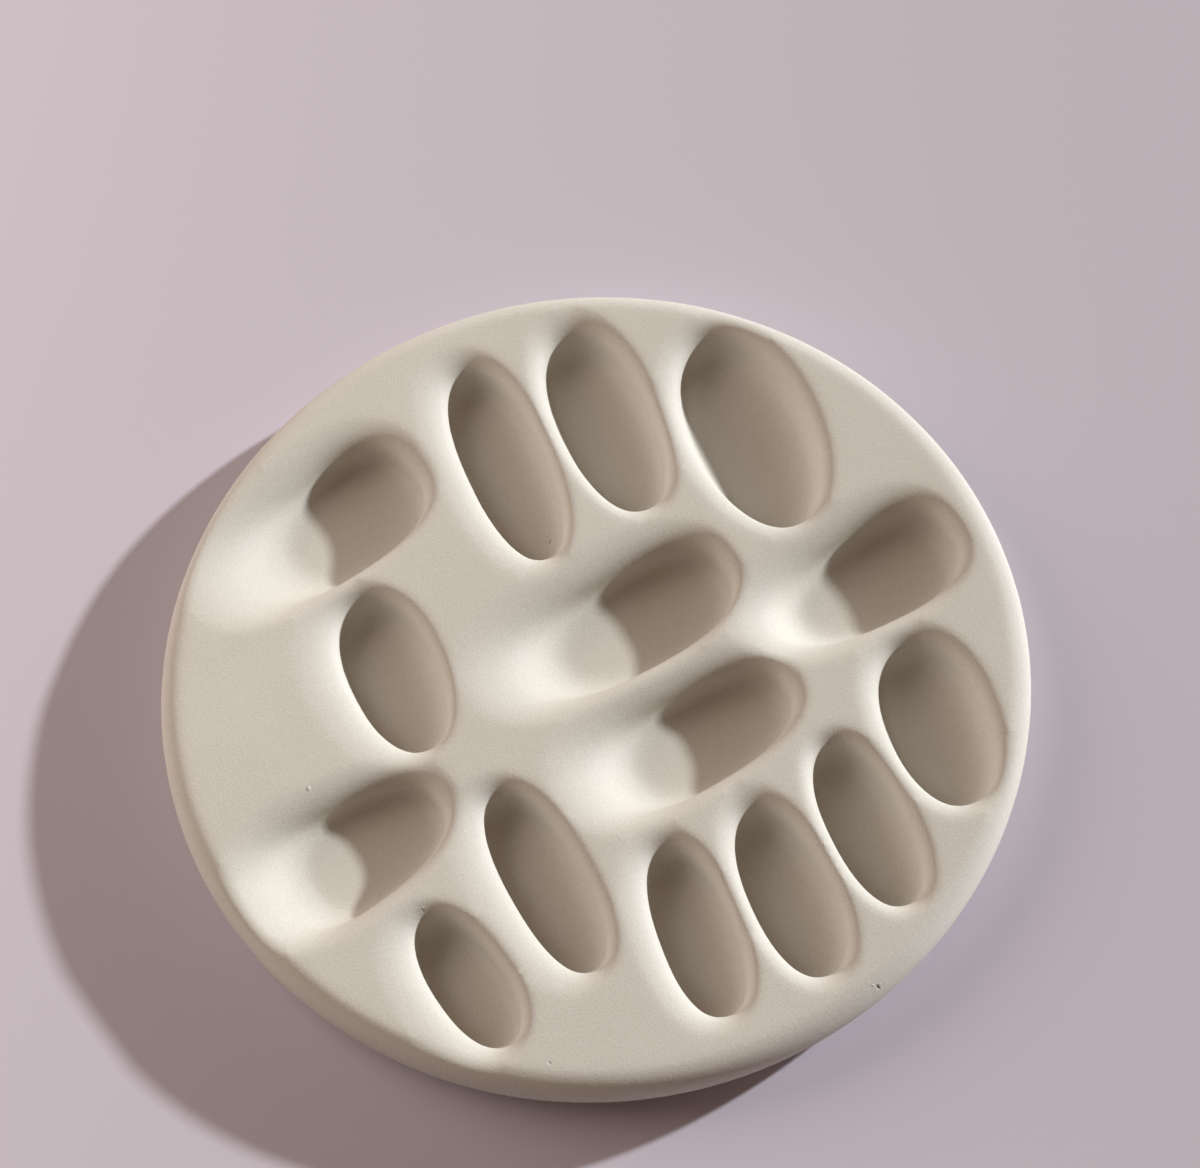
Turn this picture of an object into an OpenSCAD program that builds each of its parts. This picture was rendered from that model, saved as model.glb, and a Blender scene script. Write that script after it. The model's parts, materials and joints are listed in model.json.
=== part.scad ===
// Round serving tray, cast in one piece, with ten closed oval wells and five
// open scoops in its top, standing on four stick-on pads.
// Z is up, the table is at z = 0 and the tray's centre is at x = y = 0.

/* [Tray] */
// Outer diameter of the tray
tray_d = 300; // [294:2:340]
// Thickness of the cast body, without its pads
tray_t = 20; // [19.5:0.5:28]
// Radius of the rounded upper edge
rim_top_r = 8; // [5:0.5:9]
// Radius of the rounded lower edge
rim_bottom_r = 10; // [6:0.5:10]

/* [Recesses] */
// Depth of the closed wells below the top
well_depth = 16; // [14:0.5:16.5]
// Depth of a scoop at its deep end, from which some scoops differ a little
scoop_depth = 16; // [14:0.5:16]
// Height in which a lip rolls over from the top to the wall
lip_drop = 7.5; // [4:0.5:9]
// Slope of the walls, measured from level
wall_slope = 85; // [68:1:88]
// Radius of the fillet between wall and floor
floor_r = 4.5; // [3:0.5:9]

/* [Foot pads] */
// Diameter of one pad
pad_d = 20; // [12:1:30]
// Thickness of one pad
pad_t = 2; // [1.5:0.25:4]
// Radius of the pad's lower edge
pad_edge_r = 0.6; // [0.3:0.1:1]
// Diameter of the circle that the pads stand on
pad_ring_d = 220; // [160:5:240]

/* [Hidden] */

top_z = pad_t + tray_t;
pad_turn = 45;
pad_step = 90;

// The recesses as laid out on a tray of this diameter. A larger tray spreads
// them apart and leaves their own sizes alone.
layout_d = 300;
spread = tray_d / layout_d;

// One row per recess: [x, y], heading of its long axis, [length, width] inside
// the lip, taper towards the heading, squareness of the outline (less is
// squarer), [left, right, front, back] lip widths, how many times wider the
// right wall's foot is than the left one's, ramp, and how much deeper it is.
wells = [
    [[-23.6, 82.5], 107.5, [80, 28.4], 0.07, 0.86, [13, 4, 13, 10], 1.6, 0, 0],
    [[13.6, 95.4], 107, [75.5, 33], 0.06, 0.87, [5, 5, 13, 8], 1.6, 0, 0],
    [[64.5, 85.7], 106.7, [81, 42], 0.05, 0.98, [9, 6, 10, 8], 3.2, 0, 0],
    [[-68.7, 5.1], 110.8, [60, 30.8], 0.08, 0.9, [18, 4, 10, 8], 2.2, 0, 0],
    [[113.8, -34], 103, [60, 33], 0.06, 0.9, [8, 6, 9, 7], 2.6, 0, 0],
    [[-23.1, -75.1], 113.5, [68, 24.5], 0.02, 0.84, [16, 5, 10, 9], 1.5, 0, 0],
    [[-51.3, -106.3], 120, [49.5, 23], -0.02, 0.88, [16, 4, 9, 8], 1.5, 0, 0],
    [[24.7, -97.8], 104.7, [59, 24.5], -0.01, 0.85, [11, 4, 11, 8], 1.5, 0, 0],
    [[56.8, -87.7], 108, [60.5, 26.5], -0.03, 0.87, [6, 4, 11, 8], 1.6, 0, 0],
    [[85.4, -67.1], 108, [60, 25], 0, 0.87, [5, 5, 7, 7], 1.6, 0, 0],
];
// A scoop's floor climbs in a ramp of this length at its back, the end away
// from the heading, and runs out into the top.
scoops = [
    [[-92, 62.6], 33, [81.5, 42.5], 0.08, 0.78, [13, 5, 9, 14], 1, 26, 0],
    [[93.6, 21.4], 24, [77, 36], 0.1, 0.78, [12, 8, 6, 12], 1, 15, 1],
    [[8.9, 14.2], 24, [89, 38], 0, 0.78, [14, 7, 6, 15], 1, 21, 0.5],
    [[28.7, -31], 24, [79, 35], -0.1, 0.78, [13, 7, 7, 11], 1, 18, 0],
    [[-88.2, -59.5], 27, [71, 37], -0.2, 0.78, [12, 7, 9, 6], 1, 18, -2],
];

// How finely a recess is drawn
steps_around = 32;
lip_steps = 5;
fillet_steps = 3;

// A lip leaves the top at this slope, after a step too small to see, so that
// the cut meets the top at a clear angle.
lip_start = 12;
lip_step = 0.02;
overcut = 1;
// A ramp's run grows as this power of its depth, so that it gets flatter as it
// goes down, and its floor gets narrower towards the back by this share.
ramp_power = 1.15;
ramp_taper = 0.1;
// A floor keeps at least this half width and this slope at its edge, and the
// fillet takes no more than this share of the height below the lip.
floor_least = 2.5;
floor_slope = 4;
fillet_share = 0.9;

function even(from, to, steps) = [for (k = [0 : steps]) from + (to - from) * k / steps];
function signed_power(v, p) = sign(v) * pow(abs(v), p);

// Heights in a recess of a given depth
function lip_z(slope) = lip_step + lip_drop * (cos(lip_start) - cos(slope));
function fillet_rise() = cos(floor_slope) - cos(wall_slope);
function fillet_r(depth) = min(floor_r, fillet_share * (depth - lip_z(wall_slope)) / fillet_rise());
function fillet_z(depth) = depth - fillet_r(depth) * fillet_rise();
function wall_inset(depth) = (fillet_z(depth) - lip_z(wall_slope)) / tan(wall_slope);

// A level of a recess: [share of the lip's width, inset from the wall, depth]
function lip_levels() = [
    for (s = even(lip_start, wall_slope, lip_steps)) [1 - sin(s) / sin(wall_slope), 0, lip_z(s)]
];
function fillet_levels(depth) = let(r = fillet_r(depth)) [
    for (s = even(wall_slope, floor_slope, fillet_steps)) [
        0,
        wall_inset(depth) + r * (sin(wall_slope) - sin(s)),
        fillet_z(depth) + r * (cos(s) - cos(wall_slope))
    ]
];
function mouth_level() = let(first = lip_levels()[0]) [first[0], first[1], -overcut];
function levels(depth) = concat([mouth_level()], lip_levels(), fillet_levels(depth));
function full_inset(depth) = levels(depth)[lip_steps + fillet_steps + 2][1];

// The closed outline of a recess at one level, as points round the long axis
function outline(row, level, depth) = let(
    size = row[2],
    lips = row[5],
    foot = row[6],
    ramp = row[7],
    lip = level[0],
    inset = level[1],
    fit = min(1, (size[1] - 2 * floor_least) / (full_inset(depth) * (1 + foot))),
    sink = pow(max(level[2], 0) / depth, ramp_power),
    behind = inset + ramp * sink,
    taper = row[3] + ramp_taper * sink * min(ramp, 1),
    half_length = (size[0] + lip * (lips[2] + lips[3]) - inset - behind) / 2,
    half_width = (size[1] + lip * (lips[0] + lips[1]) - inset * fit * (1 + foot)) / 2,
    along = (behind - inset + lip * (lips[2] - lips[3])) / 2,
    across = (lip * (lips[0] - lips[1]) + inset * fit * (foot - 1)) / 2
) [
    for (k = [0 : steps_around - 1])
        let(
            t = 360 * k / steps_around,
            u = signed_power(cos(t), row[4]),
            v = signed_power(sin(t), row[4])
        )
        [along + half_length * u, across + half_width * v * (1 + taper * u), -level[2]]
];

// The space of one recess, lofted from level to level
module recess(row, plain_depth) {
    depth = plain_depth + row[8];
    stack = levels(depth);
    n = steps_around;
    last = len(stack) - 1;
    points = [for (level = stack) each outline(row, level, depth)];
    mouth = [for (k = [n - 1 : -1 : 0]) k];
    bottom = [for (k = [0 : n - 1]) last * n + k];
    sides = [
        for (j = [0 : last - 1], k = [0 : n - 1])
            let(a = j * n + k, b = j * n + (k + 1) % n)
            each [[a, b, a + n], [a + n, b, b + n]]
    ];
    translate([row[0][0] * spread, row[0][1] * spread, top_z])
        rotate(row[1])
            polyhedron(points, concat([mouth, bottom], sides), convexity = 4);
}

function arc(centre, r, from, to, steps) = [for (t = even(from, to, steps)) centre + r * [cos(t), sin(t)]];

// The plain disc with both its edges rounded
module blank() {
    rim = tray_d / 2;
    lower = arc([rim - rim_bottom_r, rim_bottom_r], rim_bottom_r, -90, 0, 8);
    upper = arc([rim - rim_top_r, tray_t - rim_top_r], rim_top_r, 0, 90, 8);
    translate([0, 0, pad_t])
        rotate_extrude($fn = 180)
            polygon(concat([[0, 0]], lower, upper, [[0, tray_t]]));
}

module tray_body() {
    color([0.84, 0.81, 0.77])
        difference() {
            blank();
            for (row = wells) recess(row, well_depth);
            for (row = scoops) recess(row, scoop_depth);
        }
}

// One pad, stuck to the flat underside
module foot_pad(index) {
    edge = arc([pad_d / 2 - pad_edge_r, pad_edge_r], pad_edge_r, -90, 0, 4);
    color([0.62, 0.61, 0.59])
        rotate(pad_turn + pad_step * (index - 1))
            translate([pad_ring_d / 2, 0, 0])
                rotate_extrude($fn = 64)
                    polygon(concat([[0, 0]], edge, [[pad_d / 2, pad_t], [0, pad_t]]));
}

tray_body();
foot_pad(1);  // foot_pad_1
foot_pad(2);  // foot_pad_2
foot_pad(3);  // foot_pad_3
foot_pad(4);  // foot_pad_4
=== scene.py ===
import json
import math
import bpy
import bmesh
from mathutils import Matrix, Vector, noise

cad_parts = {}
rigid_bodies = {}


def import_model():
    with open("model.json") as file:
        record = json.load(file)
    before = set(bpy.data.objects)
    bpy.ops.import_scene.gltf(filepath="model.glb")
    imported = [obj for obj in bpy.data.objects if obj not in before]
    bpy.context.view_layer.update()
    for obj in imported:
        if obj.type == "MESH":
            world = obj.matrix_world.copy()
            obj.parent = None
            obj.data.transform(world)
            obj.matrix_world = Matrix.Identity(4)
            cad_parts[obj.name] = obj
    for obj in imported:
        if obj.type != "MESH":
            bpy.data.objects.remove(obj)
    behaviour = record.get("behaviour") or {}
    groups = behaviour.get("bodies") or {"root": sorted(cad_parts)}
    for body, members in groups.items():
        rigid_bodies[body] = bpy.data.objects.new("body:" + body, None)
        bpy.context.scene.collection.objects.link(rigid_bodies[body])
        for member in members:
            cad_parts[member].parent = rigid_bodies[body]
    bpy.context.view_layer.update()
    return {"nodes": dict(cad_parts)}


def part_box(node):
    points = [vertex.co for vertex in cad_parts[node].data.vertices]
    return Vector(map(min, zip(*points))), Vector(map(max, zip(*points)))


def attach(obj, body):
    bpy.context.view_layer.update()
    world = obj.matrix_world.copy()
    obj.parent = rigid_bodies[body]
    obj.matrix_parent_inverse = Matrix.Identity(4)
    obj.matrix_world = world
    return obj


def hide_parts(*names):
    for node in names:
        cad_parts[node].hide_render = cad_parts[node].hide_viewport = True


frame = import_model()
mm = 0.001

# one row per recess in millimetres and degrees: place, heading of the long axis,
# (length, width) inside the lip, taper, squareness, lips (left, right, front, back),
# how many times wider the right wall's foot is, ramp at the back, depth
wells = [
    ((-23.6, 82.5), 107.5, (80, 28.4), 0.07, 0.86, (13, 4, 13, 10), 1.6, 0, 16),
    ((13.6, 95.4), 107, (75.5, 33), 0.06, 0.87, (5, 5, 13, 8), 1.6, 0, 16),
    ((64.5, 85.7), 106.7, (81, 42), 0.05, 0.98, (9, 6, 10, 8), 3.2, 0, 16),
    ((-68.7, 5.1), 110.8, (60, 30.8), 0.08, 0.9, (18, 4, 10, 8), 2.2, 0, 16),
    ((113.8, -34.0), 103, (60, 33), 0.06, 0.9, (8, 6, 9, 7), 2.6, 0, 16),
    ((-23.1, -75.1), 113.5, (68, 24.5), 0.02, 0.84, (16, 5, 10, 9), 1.5, 0, 16),
    ((-51.3, -106.3), 120, (49.5, 23), -0.02, 0.88, (16, 4, 9, 8), 1.5, 0, 16),
    ((24.7, -97.8), 104.7, (59, 24.5), -0.01, 0.85, (11, 4, 11, 8), 1.5, 0, 16),
    ((56.8, -87.7), 108, (60.5, 26.5), -0.03, 0.87, (6, 4, 11, 8), 1.6, 0, 16),
    ((85.4, -67.1), 108, (60, 25), 0.0, 0.87, (5, 5, 7, 7), 1.6, 0, 16),
]
scoops = [
    ((-92.0, 62.6), 33, (81.5, 42.5), 0.08, 0.78, (13, 5, 9, 14), 1.0, 26, 16),
    ((93.6, 21.4), 24, (77, 36), 0.1, 0.78, (12, 8, 6, 12), 1.0, 15, 17),
    ((8.9, 14.2), 24, (89, 38), 0.0, 0.78, (14, 7, 6, 15), 1.0, 21, 16.5),
    ((28.7, -31.0), 24, (79, 35), -0.1, 0.78, (13, 7, 7, 11), 1.0, 18, 16),
    ((-88.2, -59.5), 27, (71, 37), -0.2, 0.78, (12, 7, 9, 6), 1.0, 18, 14),
]
recessForm = {
    "steps": 96,
    "lipDrop": 7.5,
    "wallSlope": 85.0,  # degrees from level
    "floorRadius": 4.5,
    "lipStart": 4.0,
    "lipLevels": 10,
    "floorLevels": 10,
    "rampPower": 1.15,
    "rampTaper": 0.1,  # how much narrower a ramped floor gets towards its back
    "leastFloor": 2.5,
    "overcut": 2.0,
}


def finishMesh(bm, name):
    mesh = bpy.data.meshes.new(name)
    bm.to_mesh(mesh)
    bm.free()
    piece = bpy.data.objects.new(name, mesh)
    bpy.context.scene.collection.objects.link(piece)
    return piece


def evenSteps(first, last, count):
    return [first + (last - first) * k / count for k in range(count + 1)]


def signedPower(value, power):
    return math.copysign(abs(value) ** power, value)


def recessLevels(depth):
    # each level is the share of the lip, the inset from the wall and the depth, in mm
    lipDrop, floorRadius = recessForm["lipDrop"], recessForm["floorRadius"]
    slope = math.radians(recessForm["wallSlope"])
    start = math.radians(recessForm["lipStart"])
    lipEnd = lipDrop * (math.cos(start) - math.cos(slope))
    filletTop = depth - floorRadius * (1 - math.cos(slope))
    wallInset = (filletTop - lipEnd) / math.tan(slope)
    levels = []
    for a in evenSteps(start, slope, recessForm["lipLevels"]):
        share = 1 - math.sin(a) / math.sin(slope)
        levels.append((share, 0.0, lipDrop * (math.cos(start) - math.cos(a))))
    for a in evenSteps(slope, 0.0, recessForm["floorLevels"]):
        inset = wallInset + floorRadius * (math.sin(slope) - math.sin(a))
        levels.append((0.0, inset, filletTop + floorRadius * (math.cos(a) - math.cos(slope))))
    return levels


def placeLevel(verts, turn, row, level, fullInset, topZ, lift=0.0):
    # moves one ring of the loft to its own outline
    place, heading, size, taper, corner, lips, foot, ramp, depth = row
    lip, inset, z = level
    left, right, front, back = lips
    fit = min(1.0, (size[1] - 2 * recessForm["leastFloor"]) / (fullInset * (1 + foot)))
    sink = (z / depth) ** recessForm["rampPower"]
    behind = inset + ramp * sink
    taper += recessForm["rampTaper"] * sink * min(ramp, 1)
    halfLength = (size[0] + lip * (front + back) - inset - behind) / 2
    halfWidth = (size[1] + lip * (left + right) - inset * fit * (1 + foot)) / 2
    shiftAlong = (behind - inset + lip * (front - back)) / 2
    shiftAcross = (lip * (left - right) + inset * fit * (foot - 1)) / 2
    turned = Matrix.Rotation(math.radians(heading), 3, "Z")
    for v in verts:
        u = signedPower(math.cos(v[turn]), corner)
        w = signedPower(math.sin(v[turn]), corner)
        along = shiftAlong + halfLength * u
        across = shiftAcross + halfWidth * w * (1 + taper * u)
        local = turned @ Vector((along, across, 0))
        v.co = Vector((place[0] + local.x, place[1] + local.y, 0)) * mm
        v.co.z = topZ - z * mm + lift


def makeRecess(name, row, topZ):
    # a face pushed down level by level, as one would extrude and scale it by hand
    bm = bmesh.new()
    turn = bm.verts.layers.float.new("turn")
    circle = bmesh.ops.create_circle(bm, cap_ends=True, segments=recessForm["steps"], radius=1.0)
    for v in circle["verts"]:
        v[turn] = math.atan2(v.co.y, v.co.x)
    levels = recessLevels(row[-1])
    fullInset = levels[-1][1]
    overcut = recessForm["overcut"] * mm
    placeLevel(circle["verts"], turn, row, levels[0], fullInset, topZ, overcut)
    mouth = face = list(bm.faces)[0]
    for level in levels:
        made = bmesh.ops.extrude_face_region(bm, geom=[face])["geom"]
        if face is not mouth:
            bmesh.ops.delete(bm, geom=[face], context="FACES_ONLY")
        ring = [g for g in made if isinstance(g, bmesh.types.BMVert)]
        face = [g for g in made if isinstance(g, bmesh.types.BMFace)][0]
        placeLevel(ring, turn, row, level, fullInset, topZ)
    bmesh.ops.recalc_face_normals(bm, faces=bm.faces)
    return finishMesh(bm, name)


tray = {
    "spinSteps": 288,
    "upperRim": 8 * mm,
    "lowerRim": 10 * mm,
    "rimSegments": 12,
    "samePlace": 0.01 * mm,  # what lies nearer than this counts as one place
    "voxel": 1.37 * mm,
    "smoothPasses": 8,
    "smoothShare": 0.5,
    "baseSlack": 0.12 * mm,  # how near the underside a face counts as flat base
    "waveHeight": 0.1 * mm,  # the hand-rubbed unevenness of a casting
    "waveScale": 34.0,
}


def isRim(edge, radius, z):
    return all(
        abs(v.co.z - z) < tray["samePlace"] and v.co.xy.length > radius - tray["samePlace"]
        for v in edge.verts
    )


def makeBlank(radius, lowZ, topZ):
    # a spun slab whose two outer edges are bevelled round
    bm = bmesh.new()
    corners = [(0, lowZ), (radius, lowZ), (radius, topZ), (0, topZ)]
    verts = [bm.verts.new((x, 0, z)) for x, z in corners]
    edges = [bm.edges.new(pair) for pair in zip(verts, verts[1:])]
    bmesh.ops.spin(bm, geom=verts + edges, cent=(0, 0, 0), axis=(0, 0, 1), angle=2 * math.pi,
                   steps=tray["spinSteps"], use_merge=True)
    bmesh.ops.remove_doubles(bm, verts=bm.verts, dist=tray["samePlace"])
    for z, width in ((topZ, tray["upperRim"]), (lowZ, tray["lowerRim"])):
        rim = [e for e in bm.edges if isRim(e, radius, z)]
        bmesh.ops.bevel(bm, geom=rim, offset=width, offset_type="OFFSET", affect="EDGES",
                        segments=tray["rimSegments"], profile=0.5, material=-1)
    bmesh.ops.recalc_face_normals(bm, faces=bm.faces)
    return finishMesh(bm, "trayCasting")


def applyModifiers(piece):
    # the finished shape replaces the stack
    graph = bpy.context.evaluated_depsgraph_get()
    finished = bpy.data.meshes.new_from_object(piece.evaluated_get(graph))
    old = piece.data
    piece.modifiers.clear()
    piece.data = finished
    bpy.data.meshes.remove(old)


def cutRecesses(piece, topZ):
    cutters = bpy.data.collections.new("recessShapes")
    bpy.context.scene.collection.children.link(cutters)
    for number, row in enumerate(wells + scoops, 1):
        cutter = makeRecess("recessShape%d" % number, row, topZ)
        bpy.context.scene.collection.objects.unlink(cutter)
        cutters.objects.link(cutter)
    cut = piece.modifiers.new("recesses", "BOOLEAN")
    cut.operation = "DIFFERENCE"
    cut.solver = "MANIFOLD"
    cut.operand_type = "COLLECTION"
    cut.collection = cutters
    applyModifiers(piece)
    for cutter in list(cutters.objects):
        mesh = cutter.data
        bpy.data.objects.remove(cutter)
        bpy.data.meshes.remove(mesh)
    bpy.data.collections.remove(cutters)


# small faults of the casting in millimetres and degrees: place, (length, width), heading
# of the length, and how deep it is; a blister stands up, so its depth is less than 0
castMarks = [
    ((80.9, -123.8, 19.7), (2.1, 0.85), 130, 1.0),
    ((79.5, -122.9, 20.0), (1.1, 0.8), 150, -0.12),
    ((82.1, -122.9, 19.7), (0.9, 0.7), 90, -0.1),
    ((-26.1, -137.1, 21.8), (1.4, 0.8), 118, 0.2),
    ((-64.0, -81.6, 20.5), (1.0, 0.7), 70, 0.24),
    ((-63.6, -80.4, 20.6), (1.0, 0.6), 100, -0.12),
    ((-10.5, 55.1, 6.4), (2.0, 1.1), 72, 0.4),
    ((-99.9, -34.5, 21.6), (1.8, 1.1), 80, -0.24),
]
markForm = {
    "reach": 2.2 * mm,
    "cuts": 5,
    "steepness": 3.0,
}


def pressMarks(bm):
    # the faces round the faults are cut finer, and then each fault is pushed in as a small bowl
    spots, near = [], set()
    for place, size, heading, depth in castMarks:
        place = Vector(place) * mm
        nearest = min(bm.verts, key=lambda v: (v.co - place).length_squared)
        centre, inward = nearest.co.copy(), -nearest.normal
        spots.append((centre, inward, size, math.radians(heading), depth))
        near.update(v for v in bm.verts if (v.co - centre).length < markForm["reach"])
    edges = [e for e in bm.edges if all(v in near for v in e.verts)]
    bmesh.ops.subdivide_edges(bm, edges=edges, cuts=markForm["cuts"], use_grid_fill=True)
    for centre, inward, (length, width), heading, depth in spots:
        along = Vector((math.cos(heading), math.sin(heading), 0))
        along = (along - inward * along.dot(inward)).normalized()
        across = inward.cross(along)
        for v in bm.verts:
            offset = v.co - centre
            if offset.length < markForm["reach"]:
                spot = Vector((offset.dot(along) / length, offset.dot(across) / width)) * 2 / mm
                if spot.length < 1:
                    v.co += inward * depth * mm * (1 - spot.length ** markForm["steepness"])


def softenCasting(piece, lowZ):
    # even small faces, then the lips and ridges are rubbed soft
    even = piece.modifiers.new("even", "REMESH")
    even.mode = "VOXEL"
    even.voxel_size = tray["voxel"]
    applyModifiers(piece)
    bm = bmesh.new()
    bm.from_mesh(piece.data)
    for _ in range(tray["smoothPasses"]):
        bmesh.ops.smooth_vert(bm, verts=bm.verts, factor=tray["smoothShare"],
                              use_axis_x=True, use_axis_y=True, use_axis_z=True)
    for v in bm.verts:
        wave = noise.noise(v.co * tray["waveScale"]) * tray["waveHeight"]
        v.co += v.normal * (wave - tray["waveHeight"])  # only ever inwards
        v.co.z = max(v.co.z, lowZ)
    bm.normal_update()
    pressMarks(bm)
    # the underside becomes one flat face again
    flat = [f for f in bm.faces if all(v.co.z < lowZ + tray["baseSlack"] for v in f.verts)]
    bmesh.ops.delete(bm, geom=flat, context="FACES")
    baseEdge = [e for e in bm.edges if e.is_boundary]
    for e in baseEdge:
        for v in e.verts:
            v.co.z = lowZ
    base = bmesh.ops.contextual_create(bm, geom=baseEdge)["faces"]
    bmesh.ops.recalc_face_normals(bm, faces=bm.faces)
    for f in bm.faces:
        f.smooth = f not in base
    bm.to_mesh(piece.data)
    bm.free()


def newLook(name, roughness):
    look = bpy.data.materials.new(name)
    look.use_nodes = True
    shader = look.node_tree.nodes["Principled BSDF"]
    shader.inputs["Roughness"].default_value = roughness
    return look, shader


def grainNode(tree, where, scale, detail):
    made = tree.nodes.new("ShaderNodeTexNoise")
    made.inputs["Scale"].default_value = scale
    made.inputs["Detail"].default_value = detail
    tree.links.new(where, made.inputs["Vector"])
    return made.outputs["Fac"]


def shareNode(tree, value, share):
    # the value times its share, plus what comes in at the third input
    made = tree.nodes.new("ShaderNodeMath")
    made.operation = "MULTIPLY_ADD"
    tree.links.new(value, made.inputs[0])
    made.inputs[1].default_value = share
    return made


def toneNode(tree, value, look):
    # from the dark tone to the light one
    made = tree.nodes.new("ShaderNodeValToRGB")
    dark, light = made.color_ramp.elements
    dark.color, light.color = look["dark"], look["light"]
    dark.position, light.position = look["rampEnds"]
    tree.links.new(value, made.inputs["Fac"])
    return made.outputs["Color"]


def reliefNode(tree, height, distance):
    made = tree.nodes.new("ShaderNodeBump")
    made.inputs["Distance"].default_value = distance
    tree.links.new(height, made.inputs["Height"])
    return made


castLook = {
    "light": (0.678, 0.661, 0.611, 1),
    "dark": (0.603, 0.581, 0.528, 1),
    "rampEnds": (0.2, 0.8),
    "roughness": 0.86,
    "specular": 0.3,
    "cloudScale": 22.0,
    "cloudDetail": 4,
    "cloudShare": 0.6,
    "grainScale": 1500.0,
    "grainDetail": 2,
    "grainShare": 1.5,
    "midTone": -0.55,  # brings the two shares back to the middle of the ramp
    "grainBump": 0.065 * mm,
    "skinScale": 320.0,
    "skinDetail": 3,
    "skinBump": 0.035 * mm,
}


def makeCastLook():
    look, shader = newLook("castMineral", castLook["roughness"])
    tree = look.node_tree
    shader.inputs["Specular IOR Level"].default_value = castLook["specular"]
    where = tree.nodes.new("ShaderNodeTexCoord").outputs["Object"]
    cloud = grainNode(tree, where, castLook["cloudScale"], castLook["cloudDetail"])
    grain = grainNode(tree, where, castLook["grainScale"], castLook["grainDetail"])
    skin = grainNode(tree, where, castLook["skinScale"], castLook["skinDetail"])
    clouded = shareNode(tree, cloud, castLook["cloudShare"])
    clouded.inputs[2].default_value = castLook["midTone"]
    speckled = shareNode(tree, grain, castLook["grainShare"])
    tree.links.new(clouded.outputs[0], speckled.inputs[2])
    tone = toneNode(tree, speckled.outputs[0], castLook)
    tree.links.new(tone, shader.inputs["Base Color"])
    coarse = reliefNode(tree, skin, castLook["skinBump"])
    fine = reliefNode(tree, grain, castLook["grainBump"])
    tree.links.new(coarse.outputs["Normal"], fine.inputs["Normal"])
    tree.links.new(fine.outputs["Normal"], shader.inputs["Normal"])
    return look


siliconeLook = {
    "light": (0.37, 0.36, 0.345, 1),
    "dark": (0.30, 0.295, 0.28, 1),
    "rampEnds": (0.0, 1.0),
    "roughness": 0.6,
    "dustScale": 260.0,
    "dustDetail": 4,
    "dustBump": 0.05 * mm,
}


def makePadLook():
    look, shader = newLook("padSilicone", siliconeLook["roughness"])
    tree = look.node_tree
    where = tree.nodes.new("ShaderNodeTexCoord").outputs["Object"]
    dust = grainNode(tree, where, siliconeLook["dustScale"], siliconeLook["dustDetail"])
    tree.links.new(toneNode(tree, dust, siliconeLook), shader.inputs["Base Color"])
    relief = reliefNode(tree, dust, siliconeLook["dustBump"])
    tree.links.new(relief.outputs["Normal"], shader.inputs["Normal"])
    return look


def dress(piece, look):
    piece.data.materials.clear()
    piece.data.materials.append(look)


print("casting")
bodyLow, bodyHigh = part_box("tray_body")
casting = makeBlank((bodyHigh[0] - bodyLow[0]) / 2, bodyLow[2], bodyHigh[2])
cutRecesses(casting, bodyHigh[2])
print("cut", len(casting.data.polygons))
softenCasting(casting, bodyLow[2])
print("softened", len(casting.data.polygons))
dress(casting, makeCastLook())
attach(casting, "root")
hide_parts("tray_body")

print("pads")
padLook = makePadLook()
for name, piece in frame["nodes"].items():
    if name.startswith("foot_pad"):
        dress(piece, padLook)

stageLook = {
    "floorColour": (0.60, 0.56, 0.64, 1),
    "floorRoughness": 0.9,
    "floorSize": 12.0,
    "worldColour": (1.0, 0.64, 0.42, 1),
    "worldStrength": 0.135,
    "backdropColour": (0.62, 0.58, 0.62, 1),
}
lampLook = {
    "keyAzimuth": 24.0,
    "keyElevation": 19.3,
    "keyDistance": 3.0,
    "keySoftness": 2.5,  # degrees across, as seen from the tray
    "keyStrength": 4.55,
    "keyColour": (0.96, 0.985, 0.995),
    "fillAzimuth": 157.0,
    "fillElevation": 29.0,
    "fillDistance": 1.5,  # near enough to fall off across the tray
    "fillWidth": 1.4,
    "fillPower": 14.6,
    "fillColour": (1.0, 0.87, 0.78),
}


def makeFloor():
    bm = bmesh.new()
    bmesh.ops.create_grid(bm, x_segments=1, y_segments=1, size=stageLook["floorSize"] / 2)
    floor = finishMesh(bm, "floor")
    look, shader = newLook("floorPaper", stageLook["floorRoughness"])
    shader.inputs["Base Color"].default_value = stageLook["floorColour"]
    dress(floor, look)


def makeWorld():
    # a dim warm world, and a pale backdrop where the camera sees above the floor
    world = bpy.data.worlds.new("studio")
    bpy.context.scene.world = world
    world.use_nodes = True
    nodes, links = world.node_tree.nodes, world.node_tree.links
    sky = nodes["Background"]
    sky.inputs["Color"].default_value = stageLook["worldColour"]
    sky.inputs["Strength"].default_value = stageLook["worldStrength"]
    backdrop = nodes.new("ShaderNodeBackground")
    backdrop.inputs["Color"].default_value = stageLook["backdropColour"]
    path = nodes.new("ShaderNodeLightPath")
    shown = path.outputs["Is Camera Ray"]
    for ray in ("Is Glossy Ray", "Is Transmission Ray"):  # reflections show it too
        either = nodes.new("ShaderNodeMath")
        either.operation = "MAXIMUM"
        links.new(shown, either.inputs[0])
        links.new(path.outputs[ray], either.inputs[1])
        shown = either.outputs[0]
    seen = nodes.new("ShaderNodeMixShader")
    links.new(shown, seen.inputs[0])
    links.new(sky.outputs[0], seen.inputs[1])
    links.new(backdrop.outputs[0], seen.inputs[2])
    links.new(seen.outputs[0], nodes["World Output"].inputs["Surface"])


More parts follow.
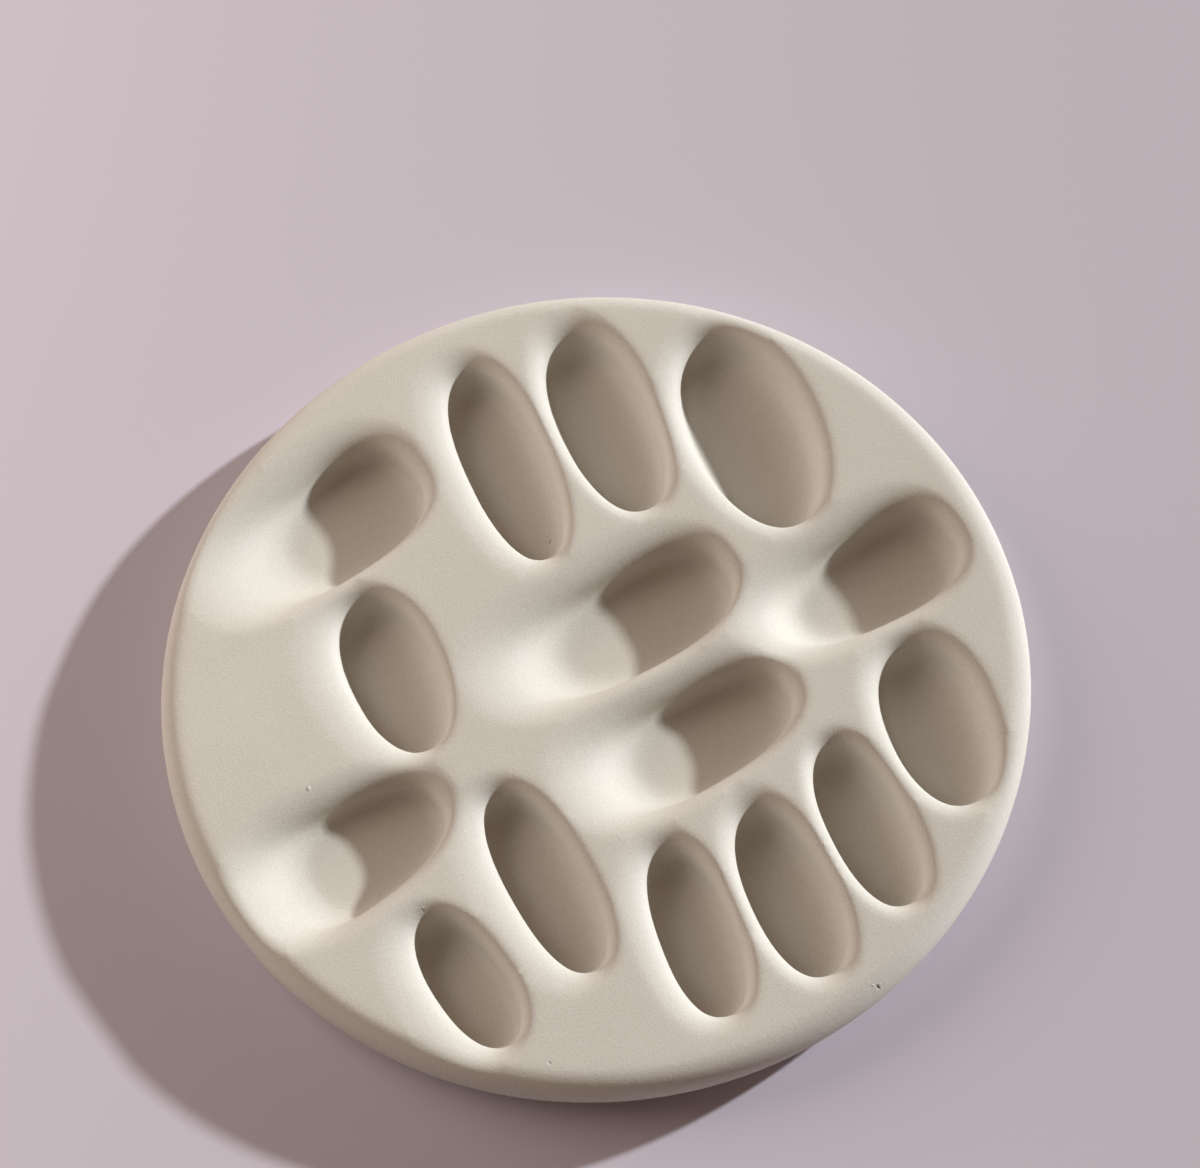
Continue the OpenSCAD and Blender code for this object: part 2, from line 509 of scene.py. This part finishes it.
def placeLamp(lamp, azimuth, elevation, distance):
    # a lamp that looks at the tray from a compass direction
    placed = bpy.data.objects.new(lamp.name, lamp)
    bpy.context.scene.collection.objects.link(placed)
    a, e = math.radians(azimuth), math.radians(elevation)
    toward = Vector((math.cos(e) * math.cos(a), math.cos(e) * math.sin(a), math.sin(e)))
    placed.location = toward * distance
    placed.rotation_mode = "QUATERNION"
    placed.rotation_quaternion = (-toward).to_track_quat("-Z", "Y")
    placed.visible_camera = False


def makeLamps():
    look = lampLook
    key = bpy.data.lights.new("keyLight", "SUN")
    key.angle = math.radians(look["keySoftness"])
    key.energy = look["keyStrength"]
    key.color = look["keyColour"]
    placeLamp(key, look["keyAzimuth"], look["keyElevation"], look["keyDistance"])
    fill = bpy.data.lights.new("fillBox", "AREA")
    fill.shape = "DISK"
    fill.size = look["fillWidth"]
    fill.energy = look["fillPower"]
    fill.color = look["fillColour"]
    placeLamp(fill, look["fillAzimuth"], look["fillElevation"], look["fillDistance"])


# fitted to the tray's outline in the photograph
photo = {
    "width": 1200,
    "focalPixels": 2600,
    "elevation": 64.3,  # degrees above the table
    "roll": -6.07,
    "distance": 926.7 * mm,
    "target": (5.5 * mm, 39.8 * mm, 0.0),
    "sensor": 36.0,
    "nearest": 0.05,
    "farthest": 50,
}


def makeCamera():
    e, r = math.radians(photo["elevation"]), math.radians(photo["roll"])
    back = Vector((0, -math.cos(e), math.sin(e)))
    level = Vector((1, 0, 0))
    upward = back.cross(level)
    right = math.cos(r) * level + math.sin(r) * upward
    up = back.cross(right)
    view = bpy.data.cameras.new("camera")
    view.sensor_fit = "HORIZONTAL"
    view.sensor_width = photo["sensor"]
    view.lens = photo["focalPixels"] / photo["width"] * photo["sensor"]
    view.clip_start, view.clip_end = photo["nearest"], photo["farthest"]
    camera = bpy.data.objects.new("camera", view)
    bpy.context.scene.collection.objects.link(camera)
    camera.rotation_mode = "QUATERNION"
    camera.rotation_quaternion = Matrix((right, up, back)).transposed().to_quaternion()
    camera.location = Vector(photo["target"]) + back * photo["distance"]
    bpy.context.scene.camera = camera


print("stage")
makeFloor()
makeWorld()
makeLamps()
makeCamera()
bpy.context.scene.view_settings.view_transform = "Standard"
